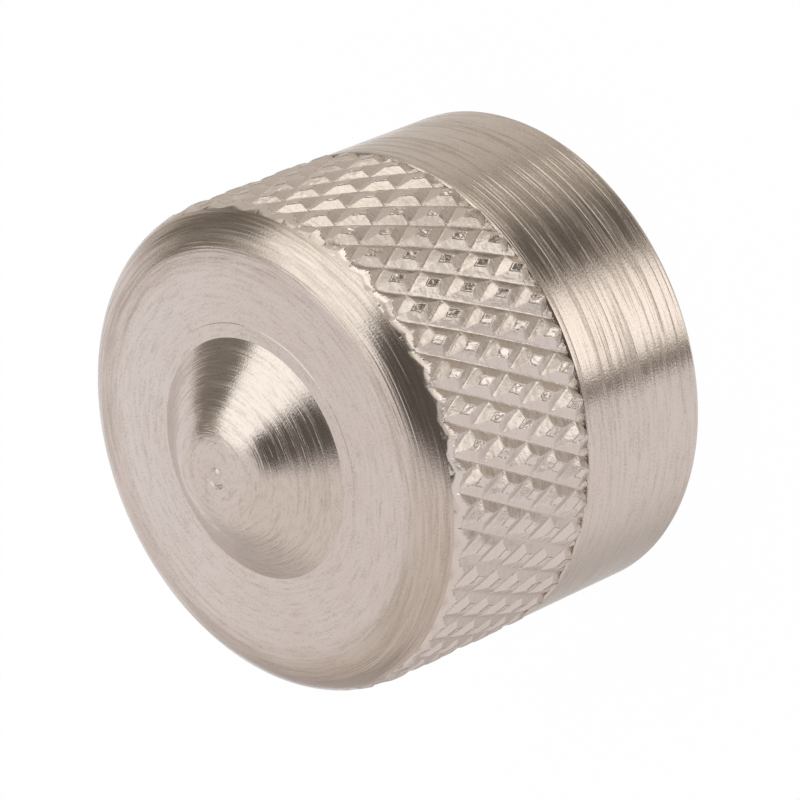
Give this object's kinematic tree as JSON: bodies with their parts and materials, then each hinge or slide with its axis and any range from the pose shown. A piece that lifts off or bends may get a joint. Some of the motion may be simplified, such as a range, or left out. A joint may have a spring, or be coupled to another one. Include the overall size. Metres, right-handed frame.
{
  "type": "tyre valve cap",
  "caption": "Turned metal tyre valve cap with a smooth band, diamond knurl, rounded edge, cone nub on its flat face, a blind threaded bore and a rubber sealing washer inside.",
  "frame": {"origin": "centre of the open rim, on the surface that the cap stands on", "axes": "+Z along the cap's axis from the open rim to the nub, +X through a crossing of the knurl's grooves"},
  "size_m": [0.011, 0.011, 0.0093],
  "materials": {
    "nickel_plate": "nickel-plated brass, fine turned",
    "seal_rubber": "matt black moulded rubber"
  },
  "bodies": {
    "root": {"cap_body": "nickel_plate", "sealing_washer": "seal_rubber"}
  },
  "joints": []
}
